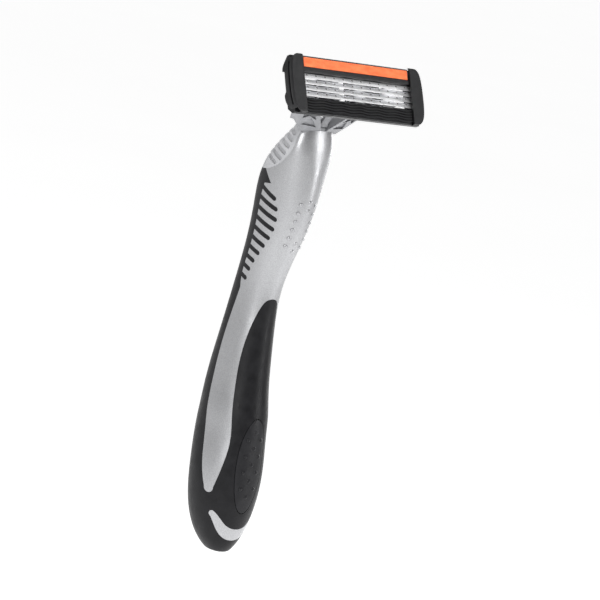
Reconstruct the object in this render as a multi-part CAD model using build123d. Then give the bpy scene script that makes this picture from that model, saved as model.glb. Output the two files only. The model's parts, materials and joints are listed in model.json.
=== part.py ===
from build123d import *
import os
from math import copysign, cos, pi, radians, sin

# A four-blade wet razor: a two-tone moulded handle and a sprung, pivoting cartridge on a
# forked neck that pulls off the handle.  Lengths are in millimetres.
# Frame: origin in the middle of the neck seam, where the fork plugs into the handle.
# +Z runs up the handle to the head, -Y is the shaving side, +X runs along the blades.
# Left and right are mirror images, apart from the rinse windows under the blades.

# ---- handle: driving dimensions ----------------------------------------------------------
# Each station: height, front Y, Y of the widest point, back Y, half width,
# fullness of the front and of the back half (2 is an ellipse, more is squarer).
STATIONS = [
    (3.0, -6.6, -5.2, -0.7, 3.2, 2.2, 2.2),
    (-1.0, -7.5, -4.1, 1.5, 5.3, 2.3, 2.2),
    (-5.0, -8.2, -2.5, 4.4, 6.5, 2.2, 2.4),
    (-9.0, -8.5, -0.8, 6.7, 6.9, 2.0, 2.7),
    (-14.0, -8.5, 0.7, 8.3, 6.9, 1.9, 2.8),
    (-20.0, -8.0, 1.7, 8.8, 6.5, 1.9, 2.7),
    (-27.0, -6.4, 2.8, 9.0, 6.0, 1.9, 2.6),
    (-34.0, -3.9, 4.3, 9.9, 5.5, 2.0, 2.5),
    (-42.0, -1.9, 5.7, 11.3, 5.2, 2.1, 2.4),
    (-50.0, -1.8, 6.2, 12.3, 5.6, 2.1, 2.3),
    (-60.0, -2.9, 6.2, 13.4, 6.4, 2.1, 2.3),
    (-70.0, -4.7, 5.7, 14.1, 7.3, 2.1, 2.2),
    (-82.0, -6.4, 4.5, 13.4, 8.3, 2.1, 2.2),
    (-92.0, -6.9, 3.2, 11.7, 8.7, 2.1, 2.2),
    (-99.0, -6.5, 2.7, 10.4, 7.8, 2.1, 2.2),
    (-104.0, -5.5, 2.1, 8.6, 6.4, 2.1, 2.1),
    (-107.5, -4.2, 1.3, 6.0, 4.6, 2.1, 2.1),
    (-109.6, -2.8, 0.3, 3.1, 2.8, 2.1, 2.1),
]
SECTION_POINTS = 16
BUTT_ROUND = 1.4
RUBBER_SKIN = 1.3
WALL_DEPTH = 3.0          # outside to core cavity
CAVITY_LOW, CAVITY_HIGH = -99.0, -14.0
CRESCENT_TIP = (-2.2, -98.8)

# Finger rest on the slanted back of the neck.
REST_SKIN = 1.4
REST_TOP = 2.0
REST_GROOVE = 0.6
REST_SLOT_HEIGHT = 1.05
REST_SLOT_TILT = 18.0
REST_SLOT_ENDS = [(-4.2, -1.5), (-4.3, -3.2), (-3.9, -4.95), (-3.2, -6.65), (-2.2, -8.25), (-0.6, -9.6)]

# Comb of rubber fingers up the back, laid out between two guide curves in side view (Y, Z).
COMB_TIPS = [(-1.8, -18.3), (-2.6, -22.0), (-1.8, -26.8), (1.0, -32.2), (4.4, -39.9)]
COMB_ROOTS = [(2.5, -16.4), (3.3, -22.0), (3.8, -28.4), (5.1, -34.8), (5.8, -39.4)]
COMB_FINGERS = 10
FINGER_WIDTH = 1.15

# Thumb pad low on the front.
PAD_CENTRE_Z = -85.8
PAD_HALF_WIDTH, PAD_HALF_HEIGHT = 3.9, 12.1
PAD_THICK = 0.8
PAD_GAP = 0.18
PAD_DOT_ROWS, PAD_DOT_PITCH, PAD_DOT_SIDE = 9, 2.08, 1.95
PAD_DOT_TOP = -76.9
PAD_DOT_RADIUS, PAD_DOT_SINK = 0.55, 0.2

# Ring of small bumps on the upper front.
BUMP_SIDE, BUMP_TOP, BUMP_PITCH, BUMP_ROWS = 2.1, -18.3, 2.2, 6
BUMP_MIDDLE = (-17.4, -19.6, -28.3, -30.4)
BUMP_RADIUS, BUMP_SINK = 0.6, 0.25

# Socket for the fork's stem.
STEM_HALF_X, STEM_FRONT, STEM_BACK, STEM_LENGTH = 1.9, -5.2, -2.6, 11.0
FIT = 0.08                # clearance of the stem and of the neck seam

# ---- fork, tongue and pivot --------------------------------------------------------------
PIVOT_Y, PIVOT_Z = -11.8, 9.8
PIN_RADIUS, PIN_CLEARANCE = 1.1, 0.06
ARM_END_IN, ARM_END_OUT, ARM_END_RADIUS = 9.9, 12.1, 2.1
PIN_TIP = 7.1
LUG_IN, LUG_OUT, LUG_RADIUS, LUG_FOOT = 7.4, 9.6, 2.0, 2.6
# The arm's cross-section at four heights: inner X, inner front Y, outer X, outer front Y, depth.
ARM_SECTIONS = [
    (-0.4, 0.2, -7.1, 5.4, -5.6, 3.4),
    (1.2, 1.45, -8.0, 7.05, -6.4, 4.0),
    (5.5, 5.0, -10.9, 9.7, -9.9, 3.8),
    (7.0, 7.4, -11.7, 11.9, -11.4, 3.3),
]
ARM_RELIEF = 0.7
ARM_TRIANGLES = [         # recesses in the arm's front, as (X, Z)
    [(2.6, 1.1), (6.6, 1.3), (5.6, 3.5)],
    [(4.1, 3.0), (5.2, 4.4), (8.6, 5.6), (7.7, 3.0), (6.5, 3.9)],
]
# The foot of the arm's end plate, as (Y, Z).
ARM_END_FOOT = [(-11.6, 6.2), (-8.5, 6.2), (-8.5, 6.9), (-11.6, 6.9)]
# The tongue hinges in a notch in the fork, and its round nose meets a rib behind the cartridge.
TONGUE_WIDTH, TONGUE_THICK = 2.2, 0.8
TONGUE_LINE = [(-6.75, 1.75), (-7.5, 3.0), (-8.9, 5.2), (-10.5, 7.3)]
TONGUE_ROOT_WIDTH, TONGUE_ROOT_RADIUS = 2.6, 0.55
NOSE_RADIUS = 0.5
RIB_END = (-11.58, 7.01)  # centre of the rib's rounded end, as (Y, Z)
RIB_HALF = 1.5
RIB_FOOT_LOW, RIB_FOOT_HIGH = -3.6, -1.9

# ---- cartridge: driving dimensions, in its own frame -------------------------------------
# u runs up the shaving face, w out of it, and the origin is the middle of the face.
FACE_Y, FACE_Z, FACE_TILT = -17.12, 12.52, 26.9
FACE_LOW, FACE_HIGH = -6.9, 7.0
CORE_HALF = 16.7          # frame, guard and cap bar, between the end caps
END_HALF = 19.5           # frame under the end caps
CAP_INNER = 16.8
CAP_OUTER = 20.45
CAP_FRONT = 0.5
CAP_BACK = -3.5
CAP_GROOVE_LOW, CAP_GROOVE_HIGH = -5.2, 5.4
CAP_GROOVE_DEPTH = 0.75
FRAME_BACK, FRAME_FRONT = -3.6, -1.0
BAY_LOW, BAY_HIGH, BAY_HALF = -3.15, 2.85, 17.65
CROSSBAR_X, CROSSBAR_HALF, CROSSBAR_TOP = 5.6, 0.6, -3.12
STRIP_LOW, STRIP_HIGH, STRIP_HALF = 4.2, 6.5, 16.35
STRIP_TOP, STRIP_BOTTOM = 0.08, -0.7
BLADE_COUNT = 4
BLADE_PITCH = 1.43
FIRST_EDGE = 1.33
BLADE_WIDTH, BLADE_DROP, BLADE_THICK = 1.36, 0.5, 0.1
BLADE_HALF = 17.4
EDGE_W = -0.05
LEG_BACK, LEG_THICK, LEG_FOOT = 0.3, 0.18, -2.6
LEG_WINDOW_TOP, LEG_WINDOW_LOW = -0.62, -2.2
LEG_WINDOWS = [(-17.6, -11.6), (-5.0, -1.6), (5.4, 8.9), (12.5, 17.6)]
SPRING_REACH, SPRING_WIDTH = 14.0, 0.56
GUARD_TOP, GUARD_SEAT = -0.35, -1.0
GUARD_HIGH, GUARD_LOW = -3.25, -6.8
FIN_ROWS, FIN_PITCH, FIN_HEIGHT, FIN_WIDTH = 5, 0.66, 0.35, 0.34
FIN_WAVES, FIN_SWING = 6, 0.13

os.makedirs("parts", exist_ok=True)


def save(solid, node):
    export_step(solid, "parts/" + node + ".step")


def side_prism(face, half=25.0):
    """A face drawn in side view, as (Y, Z), run through the whole width."""
    return extrude(Plane.YZ * face, amount=half, both=True)


def outline(*points):
    """A closed face of straight lines."""
    return make_face(Polyline(*points, close=True))


def box_between(low, high):
    size = [high[i] - low[i] for i in range(3)]
    middle = [(high[i] + low[i]) / 2 for i in range(3)]
    return Pos(*middle) * Box(*size)


def mirrored(solid):
    return mirror(solid, about=Plane.YZ)


# ---- handle ------------------------------------------------------------------------------
def section(station, inset=0.0, lift=0.0):
    """One horizontal section of the handle: a superellipse with unlike front and back halves."""
    z, front, wide, back, half, full_front, full_back = station
    front, back, half = front + inset, back - inset, half - inset
    points = []
    for i in range(SECTION_POINTS):
        angle = 2 * pi * i / SECTION_POINTS
        c, s = cos(angle), sin(angle)
        reach, full = (back - wide, full_back) if s >= 0 else (wide - front, full_front)
        x = half * copysign(abs(c) ** (2 / full), c)
        y = wide + reach * copysign(abs(s) ** (2 / full), s)
        points.append((x, y, z + lift))
    spacing = [i / SECTION_POINTS for i in range(SECTION_POINTS + 1)]
    return make_face(Edge.make_spline(points, periodic=True, parameters=spacing))


def handle_solid(inset=0.0, low=-200.0, high=200.0):
    """The handle's outside, or the same shape set in by a wall."""
    stations = [s for s in STATIONS if low <= s[0] <= high]
    lifts = [0.0] * len(stations)
    if stations[-1] is STATIONS[-1]:
        lifts[-1] = inset
    return loft([section(s, inset, up) for s, up in zip(stations, lifts)])


def front_y(solid, x, z):
    """Y where a line along +Y first meets the solid."""
    hits = solid.find_intersection_points(Axis((x, -40, z), (0, 1, 0)))
    return min(point.Y for point, normal in hits)


outside = handle_solid()
butt_edge = outside.edges().sort_by(Axis.Z)[0]
outside = fillet(butt_edge, BUTT_ROUND)


def silver_field():
    """Side view of the area where the hard shell shows: the upper handle and the side window."""
    front_curve = Spline(
        (-2.6, -42.9), (-1.7, -43.7), (-1.0, -45.4), (-0.35, -48.6), (0.15, -53.0), (0.2, -60.0), (-1.5, -71.0),
        (-3.3, -79.5), (-3.4, -86.5), (-2.5, -92.4))
    tip = ThreePointArc((-2.5, -92.4), (-1.2, -93.9), (0.0, -92.6))
    back_curve = Spline(
        (0.0, -92.6), (1.5, -89.0), (3.6, -82.0), (5.6, -74.3), (7.0, -63.5), (6.8, -52.5), (5.5, -42.5))
    root_curve = Spline(
        (5.5, -42.5), (5.9, -40.0), (4.5, -32.4), (3.4, -24.5), (2.8, -17.4), (2.3, -15.3))
    top = Polyline((2.3, -15.3), (-0.2, -14.9), (3.6, -11.2), (20.0, -9.6), (20.0, 20.0),
                   (-30.0, 20.0), (-30.0, -42.9), (-2.6, -42.9))
    return make_face(front_curve + tip + back_curve + root_curve + top)


def comb_fingers():
    """Rubber fingers that slant forward and down over the shell, as side-view faces."""
    tips, roots = Spline(*COMB_TIPS), Spline(*COMB_ROOTS)
    fingers = []
    for i in range(COMB_FINGERS):
        t = i / (COMB_FINGERS - 1)
        tip, root = tips @ t, roots @ t
        away = (root - tip).normalized()
        start = root + away * 1.5
        fingers.append(SlotCenterToCenter((start - tip).length, FINGER_WIDTH))
        middle = (start + tip) * 0.5
        turn = Vector(1, 0, 0).get_signed_angle(away, Vector(0, 0, 1))
        fingers[-1] = Pos(middle.X, middle.Y) * Rot(0, 0, turn) * fingers[-1]
    return fingers


def crescent():
    """Side view of the U-shaped band of shell round the front, near the butt."""
    upper = Spline((-3.1, -98.2), (-4.3, -99.4), (-5.4, -101.6), (-7.6, -103.6))
    lower = Spline((-2.6, -99.9), (-3.6, -102.7), (-4.6, -105.1), (-7.0, -107.0))
    tip = ThreePointArc(lower @ 0, CRESCENT_TIP, upper @ 0)
    return make_face(upper + Line(upper @ 1, lower @ 1) + lower + tip)


def rest_field():
    """Side view of the finger rest's outline on the slanted back of the neck."""
    edge = Spline((-4.6, REST_TOP), (-5.6, 0.6), (-5.1, -1.5), (-5.1, -3.4), (-4.5, -5.8), (-3.1, -8.2),
                  (-0.9, -10.2), (2.2, -11.6), (6.0, -12.1))
    sides = Polyline((6.0, -12.1), (20.0, -12.1), (20.0, REST_TOP), (-4.6, REST_TOP))
    return make_face(edge + sides)


def rest_slots():
    """Grooves across the finger rest, shortening toward the neck."""
    slots = []
    for y, z in REST_SLOT_ENDS:
        blank = Pos(10.0, 0) * SlotCenterToCenter(20.0, REST_SLOT_HEIGHT)
        slots.append(side_prism(Pos(y + REST_SLOT_HEIGHT / 2, z) * Rot(0, 0, REST_SLOT_TILT) * blank))
    return slots


def pad_prism(grow=0.0):
    """The oval of the thumb pad, seen from the front, run through the front of the handle."""
    oval = Ellipse(PAD_HALF_WIDTH + grow, PAD_HALF_HEIGHT + grow)
    front = Plane(origin=(0, 0, PAD_CENTRE_Z), x_dir=(1, 0, 0), z_dir=(0, -1, 0))
    return extrude(front * oval, amount=20)


def domes(places, radius, sink):
    """Small round bumps that stand out of the handle's front."""
    bumps = []
    for x, z in places:
        bumps.append(Pos(x, front_y(outside, x, z) + sink, z) * Sphere(radius))
    return bumps


def rubber_field():
    """Side view of everything the rubber covers: all of the handle but the silver areas."""
    field = outline((-30.0, 5.0), (-30.0, -130.0), (30.0, -130.0), (30.0, 5.0)) - silver_field()
    for finger in comb_fingers():
        field += finger
    return field - crescent() - rest_field()


def layer(prism, depth, low=-200.0, high=200.0):
    """A prism with the handle's inside taken out, which cuts a skin of that depth."""
    return prism - handle_solid(depth, low, high)


fork_field = outline((-14.0, 0.75), (-7.4, 0.4), (-5.2, -1.4), (-5.2, 1.0), (-4.6, REST_TOP),
                     (12.0, REST_TOP), (12.0, 30.0), (-14.0, 30.0))
fork_share = side_prism(fork_field)
rest_layer = layer(side_prism(rest_field()), REST_SKIN) - fork_share
rubber_layer = layer(side_prism(rubber_field()), RUBBER_SKIN)
pad_pocket = layer(pad_prism(PAD_GAP), PAD_THICK)
pad_layer = layer(pad_prism(), PAD_THICK)
stem_socket = box_between((-STEM_HALF_X - FIT, STEM_FRONT - FIT, CAVITY_HIGH - 1.0),
                          (STEM_HALF_X + FIT, STEM_BACK + FIT, 8.0))
cavity = handle_solid(WALL_DEPTH, CAVITY_LOW, CAVITY_HIGH)

bump_places = [(side * BUMP_SIDE, BUMP_TOP - i * BUMP_PITCH) for side in (-1, 1) for i in range(BUMP_ROWS)]
bump_places += [(0.0, z) for z in BUMP_MIDDLE]
shell = outside.cut(rubber_layer, rest_layer, fork_share, cavity, stem_socket)
shell = shell.fuse(*domes(bump_places, BUMP_RADIUS, BUMP_SINK))

rubber = (outside & rubber_layer) - pad_pocket

dot_places = []
for row in range(PAD_DOT_ROWS):
    z = PAD_DOT_TOP - row * PAD_DOT_PITCH
    dot_places += [(0.0, z)] if row % 2 == 0 else [(-PAD_DOT_SIDE, z), (PAD_DOT_SIDE, z)]
pad = (outside & pad_layer).fuse(*domes(dot_places, PAD_DOT_RADIUS, PAD_DOT_SINK))

rest_core = handle_solid(REST_GROOVE)
rest = (outside & rest_layer).cut(*[slot - rest_core for slot in rest_slots()])

save(shell, "handle_shell")
save(rubber, "rubber_grip")
save(pad, "thumb_pad")
save(rest, "finger_rest")


# ---- fork and tongue ---------------------------------------------------------------------
def arm_section(z, inner_x, inner_y, outer_x, outer_y, depth):
    return make_face(Polyline((inner_x, inner_y, z), (outer_x, outer_y, z), (outer_x, outer_y + depth, z),
                              (inner_x, inner_y + depth, z), close=True))


def arm():
    """The right-hand arm, from the neck to the pivot, with two recessed triangles in its front."""
    faces = [arm_section(*row) for row in ARM_SECTIONS]
    blank = loft(faces, ruled=True)
    behind = Pos(0, ARM_RELIEF, 0) * blank
    front = Plane(origin=(0, 0, 0), x_dir=(1, 0, 0), z_dir=(0, -1, 0))
    for triangle in ARM_TRIANGLES:
        pocket = extrude(front * outline(*triangle), amount=20)
        blank -= pocket & blank - behind
    round_end = Pos(PIVOT_Y, PIVOT_Z) * Circle(ARM_END_RADIUS)
    plate = make_hull([*round_end.edges(), *outline(*ARM_END_FOOT).edges()])
    end = Pos(ARM_END_IN, 0, 0) * extrude(Plane.YZ * plate, amount=ARM_END_OUT - ARM_END_IN)
    pin = Pos((PIN_TIP + ARM_END_IN) / 2, PIVOT_Y, PIVOT_Z) * Rot(0, 90, 0) * Cylinder(
        PIN_RADIUS, ARM_END_IN - PIN_TIP)
    return blank + end + pin


def tongue():
    """A springy finger that rises from a round root in the fork to a round nose."""
    line = Spline(*TONGUE_LINE)
    path = Plane.YZ * line
    start = Plane(origin=path @ 0, z_dir=path % 0, x_dir=(1, 0, 0))
    finger = sweep(start * RectangleRounded(TONGUE_WIDTH, TONGUE_THICK, 0.2), path=path)
    y, z = TONGUE_LINE[0]
    root = Pos(0, y, z) * Rot(0, 90, 0) * Cylinder(TONGUE_ROOT_RADIUS, TONGUE_ROOT_WIDTH)
    y, z = TONGUE_LINE[-1]
    nose = Pos(0, y, z) * Rot(0, 90, 0) * Cylinder(NOSE_RADIUS, TONGUE_WIDTH)
    return finger.fuse(root, nose)


lifted_share = Pos(0, -FIT / 2, FIT) * fork_share
hub = outside & lifted_share
stem = box_between((-STEM_HALF_X, STEM_FRONT, -STEM_LENGTH), (STEM_HALF_X, STEM_BACK, REST_TOP + 1.0))
right_arm = arm() & lifted_share
root_y, root_z = TONGUE_LINE[0]
root_room = TONGUE_ROOT_RADIUS + FIT
notch = box_between((-TONGUE_ROOT_WIDTH / 2 - FIT, root_y - 3.0, root_z - root_room),
                    (TONGUE_ROOT_WIDTH / 2 + FIT, root_y + root_room, root_z + 4.0))
yoke = hub.fuse(right_arm, mirrored(right_arm), stem) - notch
save(yoke, "yoke")
save(tongue(), "return_tongue")


# ---- cartridge ---------------------------------------------------------------------------
tilt = radians(FACE_TILT)
face_frame = Plane(origin=(0, FACE_Y, FACE_Z), x_dir=(1, 0, 0), z_dir=(0, -cos(tilt), sin(tilt)))


def save_face(solid, node):
    """Save something built flat in the face's own frame (X, u, w)."""
    save(face_frame.location * solid, node)


def along_blades(face, low, high):
    """A cross-section drawn as (u, w), run from one X to another."""
    return extrude(Plane(origin=(low, 0, 0), x_dir=(0, 1, 0), z_dir=(1, 0, 0)) * face, amount=high - low)


def in_face(y, z):
    """A point of the side view in the face's frame, as (u, w)."""
    local = face_frame.to_local_coords(Vector(0, y, z))
    return local.Y, local.Z


def rounded_ear(centre, radius, low_u, high_u, low_x, high_x):
    """A lug that stands behind the frame: a round end on a foot from low_u to high_u."""
    low_w, high_w = FRAME_BACK + 0.2, FRAME_BACK + 0.3
    foot = outline((low_u, low_w), (high_u, low_w), (high_u, high_w), (low_u, high_w))
    view = make_hull([*(Pos(*centre) * Circle(radius)).edges(), *foot.edges()])
    return along_blades(view, low_x, high_x)


def frame_body():
    """The cartridge's black moulding: blade bay, crossbars, ends, and bearings behind."""
    pivot = in_face(PIVOT_Y, PIVOT_Z)
    profile = outline((FACE_LOW, FRAME_FRONT), (FACE_LOW, -2.2), (FACE_LOW + 1.3, FRAME_BACK),
                      (FACE_HIGH - 1.6, FRAME_BACK), (FACE_HIGH, -2.0), (FACE_HIGH, FRAME_FRONT))
    body = along_blades(profile, -END_HALF, END_HALF)
    body -= box_between((-BAY_HALF, BAY_LOW, -9.0), (BAY_HALF, BAY_HIGH, 1.0))
    for x, half in ((-CROSSBAR_X, CROSSBAR_HALF), (0.0, RIB_HALF), (CROSSBAR_X, CROSSBAR_HALF)):
        body += box_between((x - half, BAY_LOW, FRAME_BACK), (x + half, BAY_HIGH, CROSSBAR_TOP))
    for side in (-1, 1):
        low, high = sorted((side * LUG_IN, side * LUG_OUT))
        body += rounded_ear(pivot, LUG_RADIUS, -LUG_FOOT, LUG_FOOT, low, high)
        body += box_between((low, BAY_LOW, FRAME_BACK), (high, BAY_HIGH, CROSSBAR_TOP))
        body -= along_blades(Pos(*pivot) * Circle(PIN_RADIUS + PIN_CLEARANCE), low - 1.0, high + 1.0)
    rib_end = in_face(*RIB_END)
    return body + rounded_ear(rib_end, NOSE_RADIUS, RIB_FOOT_LOW, RIB_FOOT_HIGH, -RIB_HALF, RIB_HALF)


def blade(edge_u):
    profile = outline((edge_u, EDGE_W), (edge_u + BLADE_WIDTH, EDGE_W - BLADE_DROP),
                      (edge_u + BLADE_WIDTH, EDGE_W - BLADE_DROP - BLADE_THICK),
                      (edge_u + 0.3, EDGE_W - 0.11 - BLADE_THICK))
    return along_blades(profile, -BLADE_HALF, BLADE_HALF)


def blade_support(edge_u):
    """The bent strip under a blade: a sloping seat and a leg with rinse windows."""
    slope = BLADE_DROP / BLADE_WIDTH
    front = edge_u + LEG_BACK + 0.05
    back = edge_u + BLADE_WIDTH - 0.04
    w_front = EDGE_W - BLADE_THICK - 0.01 - slope * (front - edge_u)
    w_back = EDGE_W - BLADE_THICK - 0.01 - slope * (back - edge_u)
    leg = edge_u + LEG_BACK
    profile = outline((leg, w_front - 0.02), (front + 0.05, w_front - 0.02), (back, w_back),
                      (back, w_back - LEG_THICK), (leg + LEG_THICK, w_front - 0.3), (leg + LEG_THICK, LEG_FOOT),
                      (leg, LEG_FOOT))
    strip = along_blades(profile, -BLADE_HALF + 0.1, BLADE_HALF - 0.1)
    for low, high in LEG_WINDOWS:
        strip -= box_between((low, edge_u - 0.5, LEG_WINDOW_LOW), (high, leg + LEG_THICK + 0.01, LEG_WINDOW_TOP))
    return strip


def blade_spring(edge_u):
    """Two thin fingers, one at each end of the bay, that a blade's leg rests on."""
    leg = edge_u + LEG_BACK + LEG_THICK / 2
    top = LEG_FOOT - 0.02
    finger = outline((BAY_HALF, top - 0.5), (BAY_HALF, top - 0.1), (SPRING_REACH + 0.2, top),
                     (SPRING_REACH, top - 0.1), (SPRING_REACH + 0.2, top - 0.35))
    right = Pos(0, leg + SPRING_WIDTH / 2, 0) * extrude(Plane.XZ * finger, amount=SPRING_WIDTH)
    return right + mirrored(right)


def end_cap():
    """The right-hand end cap: a front flange and an outer wall that wraps round the frame's end."""
    front_view = make_face(
        Polyline((CAP_INNER, FACE_LOW - 0.3), (CAP_INNER, FACE_HIGH + 0.25), (18.2, FACE_HIGH + 0.2))
        + Spline((18.2, FACE_HIGH + 0.2), (19.7, FACE_HIGH - 0.9), (20.2, 4.4), (CAP_OUTER, 0.5),
                 (20.3, -3.6), (19.8, -5.6), (18.0, FACE_LOW - 0.3))
        + Line((18.0, FACE_LOW - 0.3), (CAP_INNER, FACE_LOW - 0.3)))
    block = extrude(Pos(0, 0, CAP_BACK) * front_view, amount=CAP_FRONT - CAP_BACK)
    side_view = make_face(
        Spline((FACE_LOW - 0.3, -0.4), (-6.6, -1.5), (-5.6, -2.5), (-2.5, -3.2))
        + Polyline((-2.5, -3.2), (-1.7, -2.55), (3.0, -2.55), (3.3, -3.35), (4.0, -3.35))
        + Spline((4.0, -3.35), (5.5, -2.6), (6.5, -1.2), (FACE_HIGH + 0.25, 0.0))
        + Polyline((FACE_HIGH + 0.25, 0.0), (FACE_HIGH, CAP_FRONT), (FACE_LOW, CAP_FRONT), (FACE_LOW - 0.3, -0.4)))
    block &= along_blades(side_view, CAP_INNER - 1, CAP_OUTER + 1)
    block -= box_between((CAP_INNER - 1, FACE_LOW - 0.02, -9.0), (END_HALF + 0.02, FACE_HIGH + 0.02, 0.02))
    return block - box_between((CAP_OUTER - CAP_GROOVE_DEPTH, CAP_GROOVE_LOW, -1.15),
                               (CAP_OUTER + 1, CAP_GROOVE_HIGH, -0.65))


def cap_bar():
    """The bar along the top of the face, with a seat for the lubricating strip."""
    profile = outline((BAY_HIGH + 0.05, -0.25), (BAY_HIGH + 0.25, 0.0), (FACE_HIGH - 0.35, 0.0),
                      (FACE_HIGH, -0.4), (FACE_HIGH, FRAME_FRONT), (BAY_HIGH + 0.05, FRAME_FRONT))
    bar = along_blades(profile, -CORE_HALF, CORE_HALF)
    return bar - box_between((-STRIP_HALF, STRIP_LOW, STRIP_BOTTOM), (STRIP_HALF, STRIP_HIGH, 1.0))


def lube_strip():
    block = box_between((-STRIP_HALF, STRIP_LOW, STRIP_BOTTOM), (STRIP_HALF, STRIP_HIGH, STRIP_TOP))
    return fillet(block.edges().group_by(Axis.Z)[-1], 0.12)


def guard():
    """The rubber guard below the blades: a base with rows of wavy fins."""
    base = box_between((-CORE_HALF, GUARD_LOW, GUARD_SEAT), (CORE_HALF, GUARD_HIGH, GUARD_TOP))
    wave = 2 * CORE_HALF / FIN_WAVES
    for row in range(FIN_ROWS):
        u = GUARD_HIGH - 0.35 - row * FIN_PITCH
        points = [(-CORE_HALF + i * wave / 2, u + FIN_SWING * (-1) ** i) for i in range(2 * FIN_WAVES + 1)]
        middle = Spline(*points)
        fin = trace(middle, FIN_WIDTH)
        base += extrude(Pos(0, 0, GUARD_TOP) * fin, amount=FIN_HEIGHT)
    return base & box_between((-CORE_HALF, GUARD_LOW, -5), (CORE_HALF, GUARD_HIGH, 5))


save_face(frame_body(), "cartridge_frame")
save_face(cap_bar(), "cap_bar")
save_face(lube_strip(), "lube_strip")
save_face(guard(), "guard_fins")
save_face(end_cap(), "end_cap_right")
save_face(mirrored(end_cap()), "end_cap_left")
for i in range(BLADE_COUNT):
    edge = FIRST_EDGE - i * BLADE_PITCH
    number = str(i + 1)
    save_face(blade(edge), "blade_" + number)
    save_face(blade_support(edge), "blade_support_" + number)
    save_face(blade_spring(edge), "blade_spring_" + number)
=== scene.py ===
import json
from math import cos, radians, sin

import bmesh
import bpy
from mathutils import Matrix, Quaternion, Vector


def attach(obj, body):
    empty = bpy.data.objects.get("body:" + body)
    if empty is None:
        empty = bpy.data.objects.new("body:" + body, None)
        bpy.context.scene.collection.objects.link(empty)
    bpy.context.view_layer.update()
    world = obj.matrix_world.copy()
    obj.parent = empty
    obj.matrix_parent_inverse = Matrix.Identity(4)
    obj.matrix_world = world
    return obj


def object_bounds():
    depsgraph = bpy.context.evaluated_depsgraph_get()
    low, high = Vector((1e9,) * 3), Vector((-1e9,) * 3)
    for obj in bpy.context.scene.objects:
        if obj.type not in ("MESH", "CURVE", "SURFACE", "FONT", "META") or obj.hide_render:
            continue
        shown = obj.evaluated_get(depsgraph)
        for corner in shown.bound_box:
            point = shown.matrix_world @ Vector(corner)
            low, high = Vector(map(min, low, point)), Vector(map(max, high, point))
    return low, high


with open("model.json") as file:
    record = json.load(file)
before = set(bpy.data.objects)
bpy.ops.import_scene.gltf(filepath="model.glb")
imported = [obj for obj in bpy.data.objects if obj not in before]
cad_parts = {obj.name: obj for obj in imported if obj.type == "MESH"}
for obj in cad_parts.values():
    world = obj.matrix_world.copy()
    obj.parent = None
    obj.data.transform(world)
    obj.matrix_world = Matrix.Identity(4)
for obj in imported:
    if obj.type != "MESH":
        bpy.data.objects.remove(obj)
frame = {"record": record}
cad_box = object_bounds()

MM = 0.001

# ---- places that come from the design ----------------------------------------------------
# The shaving face has its own axes: X along the blades, u up the face and w out of it.
FACE_ORIGIN = Vector((0, -17.12, 12.52)) * MM
FACE_TILT = radians(26.9)
FACE_UP = Vector((0, sin(FACE_TILT), cos(FACE_TILT)))
FACE_OUT = Vector((0, -cos(FACE_TILT), sin(FACE_TILT)))
FACE = Matrix.Translation(FACE_ORIGIN) @ Matrix((
    (1, 0, 0, 0),
    (0, FACE_UP.y, FACE_OUT.y, 0),
    (0, FACE_UP.z, FACE_OUT.z, 0),
    (0, 0, 0, 1)))
BLADE_COUNT = 4
BLADE_PITCH = 1.43
FIRST_EDGE = 1.33
BLADE_WIDTH, BLADE_DROP = 1.36, 0.5
EDGE_OUT = -0.05
WELDS_PER_BLADE, WELD_SPACING, WELD_BACK = 12, 2.8, 0.95
WELD_FOOT_RADIUS, WELD_TOP_RADIUS, WELD_THICK, WELD_LIFT = 0.23, 0.15, 0.03, 0.004


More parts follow.
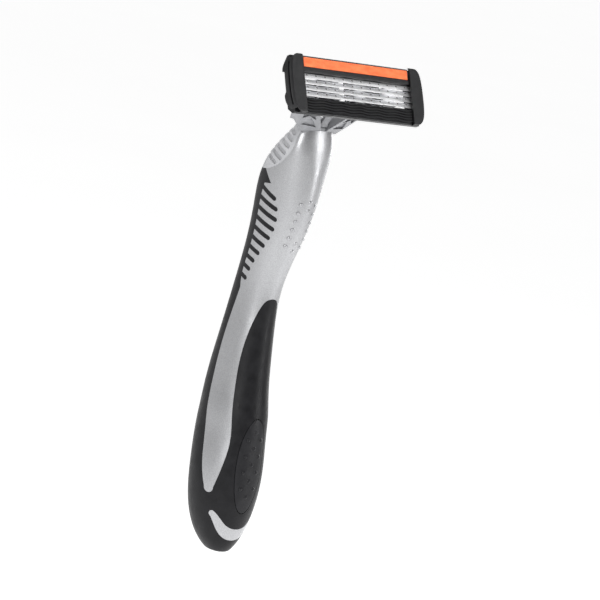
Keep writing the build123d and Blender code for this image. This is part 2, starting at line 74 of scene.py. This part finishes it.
# ---- materials ---------------------------------------------------------------------------
class Surface:
    """A node material that is built up step by step."""

    def __init__(self, name, roughness, metallic=0.0, **sockets):
        self.material = bpy.data.materials.new(name)
        self.material.use_nodes = True
        self.nodes = self.material.node_tree.nodes
        self.links = self.material.node_tree.links
        self.shader = self.nodes["Principled BSDF"]
        self.shader.inputs["Metallic"].default_value = metallic
        self.shader.inputs["Roughness"].default_value = roughness
        for socket, value in sockets.items():
            self.shader.inputs[socket.replace("_", " ")].default_value = value
        self.place = self.nodes.new("ShaderNodeTexCoord").outputs["Object"]

    def noise(self, size, detail=2.0, stretch=(1, 1, 1), distortion=0.0):
        """Noise whose features are about that many metres across."""
        mapping = self.nodes.new("ShaderNodeMapping")
        mapping.inputs["Scale"].default_value = stretch
        self.links.new(self.place, mapping.inputs["Vector"])
        noise = self.nodes.new("ShaderNodeTexNoise")
        noise.inputs["Scale"].default_value = 1.0 / size
        noise.inputs["Detail"].default_value = detail
        noise.inputs["Distortion"].default_value = distortion
        self.links.new(mapping.outputs["Vector"], noise.inputs["Vector"])
        return noise.outputs["Fac"]

    def cells(self, size):
        cells = self.nodes.new("ShaderNodeTexVoronoi")
        cells.inputs["Scale"].default_value = 1.0 / size
        self.links.new(self.place, cells.inputs["Vector"])
        return cells.outputs["Distance"]

    def ramp(self, value, low, high, start=0.3, end=0.7):
        """Map a noise to a range of grey or to two colours."""
        ramp = self.nodes.new("ShaderNodeValToRGB")
        ramp.color_ramp.elements[0].position = start
        ramp.color_ramp.elements[1].position = end
        ramp.color_ramp.elements[0].color = low if isinstance(low, tuple) else (low, low, low, 1)
        ramp.color_ramp.elements[1].color = high if isinstance(high, tuple) else (high, high, high, 1)
        self.links.new(value, ramp.inputs["Fac"])
        return ramp.outputs["Color"]

    def colour(self, low, high, value, start=0.3, end=0.7):
        mix = self.ramp(value, (*low, 1), (*high, 1), start, end)
        self.links.new(mix, self.shader.inputs["Base Color"])
        return self

    def rough(self, low, high, value, start=0.3, end=0.7):
        self.links.new(self.ramp(value, low, high, start, end), self.shader.inputs["Roughness"])
        return self

    def bump(self, value, depth):
        """Add a bump of that depth in metres on top of any earlier one."""
        bump = self.nodes.new("ShaderNodeBump")
        bump.inputs["Strength"].default_value = 1.0
        bump.inputs["Distance"].default_value = depth
        self.links.new(value, bump.inputs["Height"])
        earlier = self.shader.inputs["Normal"]
        if earlier.is_linked:
            self.links.new(earlier.links[0].from_socket, bump.inputs["Normal"])
        self.links.new(bump.outputs["Normal"], earlier)
        return self


def pearl_silver():
    """A silver finish with fine metallic flake under a soft clear coat."""
    s = Surface("pearl_silver", 0.33, metallic=0.75, Coat_Weight=0.1, Coat_Roughness=0.3)
    s.colour((0.31, 0.312, 0.322), (0.42, 0.423, 0.433), s.noise(0.00016, 1.0), 0.35, 0.65)
    s.rough(0.32, 0.42, s.noise(0.004, 3.0))
    s.bump(s.noise(0.00012, 1.0), 0.000003)
    return s.bump(s.noise(0.006, 2.0), 0.00002).material


def satin_rubber(name, low, high, grain, depth, roughness):
    """Moulded rubber: a fine grain, a cloudy sheen and slight changes of shade."""
    s = Surface(name, roughness, Specular_IOR_Level=0.16)
    s.colour(low, high, s.noise(0.003, 4.0))
    s.rough(roughness - 0.07, roughness + 0.08, s.noise(0.0015, 4.0))
    s.bump(s.cells(grain), depth)
    return s.bump(s.noise(grain * 0.5, 3.0), depth * 0.7).material


def moulded_plastic(name, low, high, roughness, depth=0.000008):
    """Injection-moulded plastic with a spark-eroded grain and faint flow marks."""
    s = Surface(name, roughness, Specular_IOR_Level=0.22)
    s.colour(low, high, s.noise(0.002, 4.0, distortion=0.6))
    s.rough(roughness - 0.06, roughness + 0.07, s.noise(0.0008, 3.0))
    return s.bump(s.noise(0.00015, 2.0), depth).material


def ground_steel(name, low, high, roughness, streak):
    """Steel with fine grinding lines that run along the blade, and faint water marks."""
    s = Surface(name, roughness, metallic=1.0)
    lines = s.noise(0.0001, 2.0, stretch=(streak, 1, 1))
    s.colour(low, high, s.noise(0.0016, 4.0))
    s.rough(roughness - 0.05, roughness + 0.05, lines)
    return s.bump(lines, 0.0000003).material


def waxy_strip():
    """The polymer lubricating strip: a little translucent, mottled and scuffed."""
    s = Surface("waxy_strip", 0.5, Subsurface_Weight=0.25, Subsurface_Scale=0.0006)
    s.shader.inputs["Subsurface Radius"].default_value = (1.0, 0.35, 0.15)
    s.colour((0.80, 0.115, 0.02), (0.93, 0.20, 0.055), s.noise(0.0011, 5.0, stretch=(0.5, 1, 1)))
    s.rough(0.42, 0.62, s.noise(0.0006, 3.0))
    s.bump(s.noise(0.0004, 3.0), 0.00002)
    return s.bump(s.noise(0.00009, 2.0), 0.000006).material


def weld_spot():
    """Dark, heat-tinted steel with a rough surface."""
    s = Surface("weld_spot", 0.55, metallic=0.3)
    s.colour((0.05, 0.045, 0.05), (0.13, 0.11, 0.12), s.noise(0.0001, 2.0))
    return s.bump(s.noise(0.00008, 2.0), 0.000008).material


MATERIALS = {
    "silver": pearl_silver(),
    "grip_rubber": satin_rubber(
        "grip_rubber", (0.006, 0.006, 0.007), (0.012, 0.012, 0.0135),
        grain=0.00035, depth=0.000016, roughness=0.4),
    "pad_rubber": satin_rubber(
        "pad_rubber", (0.012, 0.012, 0.0135), (0.019, 0.019, 0.021),
        grain=0.0003, depth=0.00002, roughness=0.36),
    "rest_plastic": satin_rubber(
        "rest_rubber", (0.37, 0.373, 0.385), (0.44, 0.443, 0.455),
        grain=0.0003, depth=0.000015, roughness=0.55),
    "fork_plastic": moulded_plastic("fork_plastic", (0.22, 0.223, 0.235), (0.29, 0.293, 0.305), 0.38),
    "black_plastic": moulded_plastic("black_plastic", (0.007, 0.007, 0.008), (0.013, 0.013, 0.014), 0.36),
    "strip": waxy_strip(),
    "guard_rubber": satin_rubber(
        "guard_rubber", (0.008, 0.008, 0.009), (0.016, 0.016, 0.017),
        grain=0.0002, depth=0.000008, roughness=0.55),
    "blade_steel": ground_steel("blade_steel", (0.84, 0.845, 0.86), (0.94, 0.94, 0.95), 0.34, 0.05),
    "support_steel": ground_steel("support_steel", (0.74, 0.745, 0.76), (0.86, 0.865, 0.88), 0.4, 0.05),
}
MERGE_GAP = 0.000002      # vertices this close are one, so that an edge can be rounded
BEVELS = {                # edge radius in millimetres
    "cartridge_frame": 0.12, "cap_bar": 0.15, "end_cap_left": 0.28, "end_cap_right": 0.28, "yoke": 0.22,
    "return_tongue": 0.12,
}
for number in range(1, BLADE_COUNT + 1):
    BEVELS[f"blade_support_{number}"] = 0.03
BEVEL_SEGMENTS = 3
BEVEL_ANGLE = radians(35)


def finish_cad_node(node, slot):
    piece = bpy.data.objects[node]
    piece.data.materials.clear()
    piece.data.materials.append(MATERIALS[slot])
    if node in BEVELS:
        piece.modifiers.new("joined edges", "WELD").merge_threshold = MERGE_GAP
        bevel = piece.modifiers.new("rounded edges", "BEVEL")
        bevel.width = BEVELS[node] * MM
        bevel.segments = BEVEL_SEGMENTS
        bevel.limit_method = "ANGLE"
        bevel.angle_limit = BEVEL_ANGLE
        bevel.harden_normals = True


for subpart in frame["record"]["subparts"]:
    finish_cad_node(subpart["node"], subpart["material_slot"])


# ---- added detail ------------------------------------------------------------------------
def weld_dots(row):
    """The row of small spot welds that hold a blade on its support, as shallow discs."""
    mesh = bpy.data.meshes.new(f"weld_spots_{row + 1}")
    work = bmesh.new()
    slope = BLADE_DROP / BLADE_WIDTH
    u = FIRST_EDGE - row * BLADE_PITCH + WELD_BACK
    w = EDGE_OUT - slope * WELD_BACK
    tilt = Matrix.Rotation(-slope, 4, "X")
    for i in range(WELDS_PER_BLADE):
        x = (i - (WELDS_PER_BLADE - 1) / 2) * WELD_SPACING
        place = FACE @ Matrix.Translation(Vector((x, u, w + WELD_LIFT)) * MM) @ tilt
        bmesh.ops.create_cone(work, cap_ends=True, segments=20, radius1=WELD_FOOT_RADIUS * MM,
                              radius2=WELD_TOP_RADIUS * MM, depth=WELD_THICK * MM, matrix=place)
    work.to_mesh(mesh)
    work.free()
    piece = bpy.data.objects.new(mesh.name, mesh)
    bpy.context.collection.objects.link(piece)
    piece.data.materials.append(weld_material)
    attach(piece, f"blade_unit_{row + 1}")


weld_material = weld_spot()
for row in range(BLADE_COUNT):
    weld_dots(row)


# ---- floor, light and camera -------------------------------------------------------------
FLOOR_DROP = 0.3          # the razor hangs free, so the floor is well below it
FLOOR_HALF = 12.0
CAMERA_PLACE = Vector((-377.2, -458.0, 67.0)) * MM
CAMERA_FORWARD = Vector((0.6349, 0.7509, -0.1817))
CAMERA_ROLL = radians(11.83)
CAMERA_LENS, CAMERA_SENSOR = 146.0, 36.0
WORLD_STRENGTH = 0.32
LIGHTS = [                # name, place, width and height in metres, watts
    ("key_light", (-0.75, -0.35, 0.4), (0.16, 0.9), 6.0),
    ("front_light", (0.55, -0.75, 0.25), (0.16, 0.9), 4.5),
    ("rim_light", (0.75, 0.25, 0.3), (0.25, 0.9), 5.0),
    ("top_light", (-0.1, -0.1, 0.9), (0.6, 0.6), 3.0),
]
LIGHT_TARGET = Vector((0, 0, -0.045))


def floor():
    mesh = bpy.data.meshes.new("floor")
    half = FLOOR_HALF
    z = cad_box[0][2] - FLOOR_DROP
    corners = [(-half, -half, z), (half, -half, z), (half, half, z), (-half, half, z)]
    mesh.from_pydata(corners, [], [(0, 1, 2, 3)])
    plane = bpy.data.objects.new("floor", mesh)
    bpy.context.collection.objects.link(plane)
    s = Surface("pale_floor", 0.9, Emission_Color=(1, 1, 1, 1), Emission_Strength=0.68)
    s.colour((0.90, 0.90, 0.90), (0.92, 0.92, 0.92), s.noise(0.3, 2.0))
    mesh.materials.append(s.material)


def soft_light(name, place, size, power):
    light = bpy.data.lights.new(name, "AREA")
    light.shape = "RECTANGLE"
    light.size, light.size_y = size
    light.energy = power
    lamp = bpy.data.objects.new(name, light)
    lamp.location = place
    lamp.rotation_mode = "QUATERNION"
    lamp.rotation_quaternion = (LIGHT_TARGET - Vector(place)).to_track_quat("-Z", "Y")
    bpy.context.collection.objects.link(lamp)


def camera():
    """The view: from the front left, a little above, with the razor leaning to the right."""
    data = bpy.data.cameras.new("camera")
    data.lens = CAMERA_LENS
    data.sensor_width = CAMERA_SENSOR
    data.clip_start, data.clip_end = 0.01, 100.0
    eye = bpy.data.objects.new("camera", data)
    eye.location = CAMERA_PLACE
    eye.rotation_mode = "QUATERNION"
    eye.rotation_quaternion = CAMERA_FORWARD.to_track_quat("-Z", "Y") @ Quaternion((0, 0, 1), CAMERA_ROLL)
    bpy.context.collection.objects.link(eye)
    bpy.context.scene.camera = eye


def studio():
    world = bpy.data.worlds.new("studio")
    world.use_nodes = True
    background = world.node_tree.nodes["Background"]
    background.inputs["Color"].default_value = (1, 1, 1, 1)
    background.inputs["Strength"].default_value = WORLD_STRENGTH
    bpy.context.scene.world = world
    bpy.context.scene.view_settings.view_transform = "Standard"
    for name, place, size, power in LIGHTS:
        soft_light(name, place, size, power)


floor()
studio()
camera()
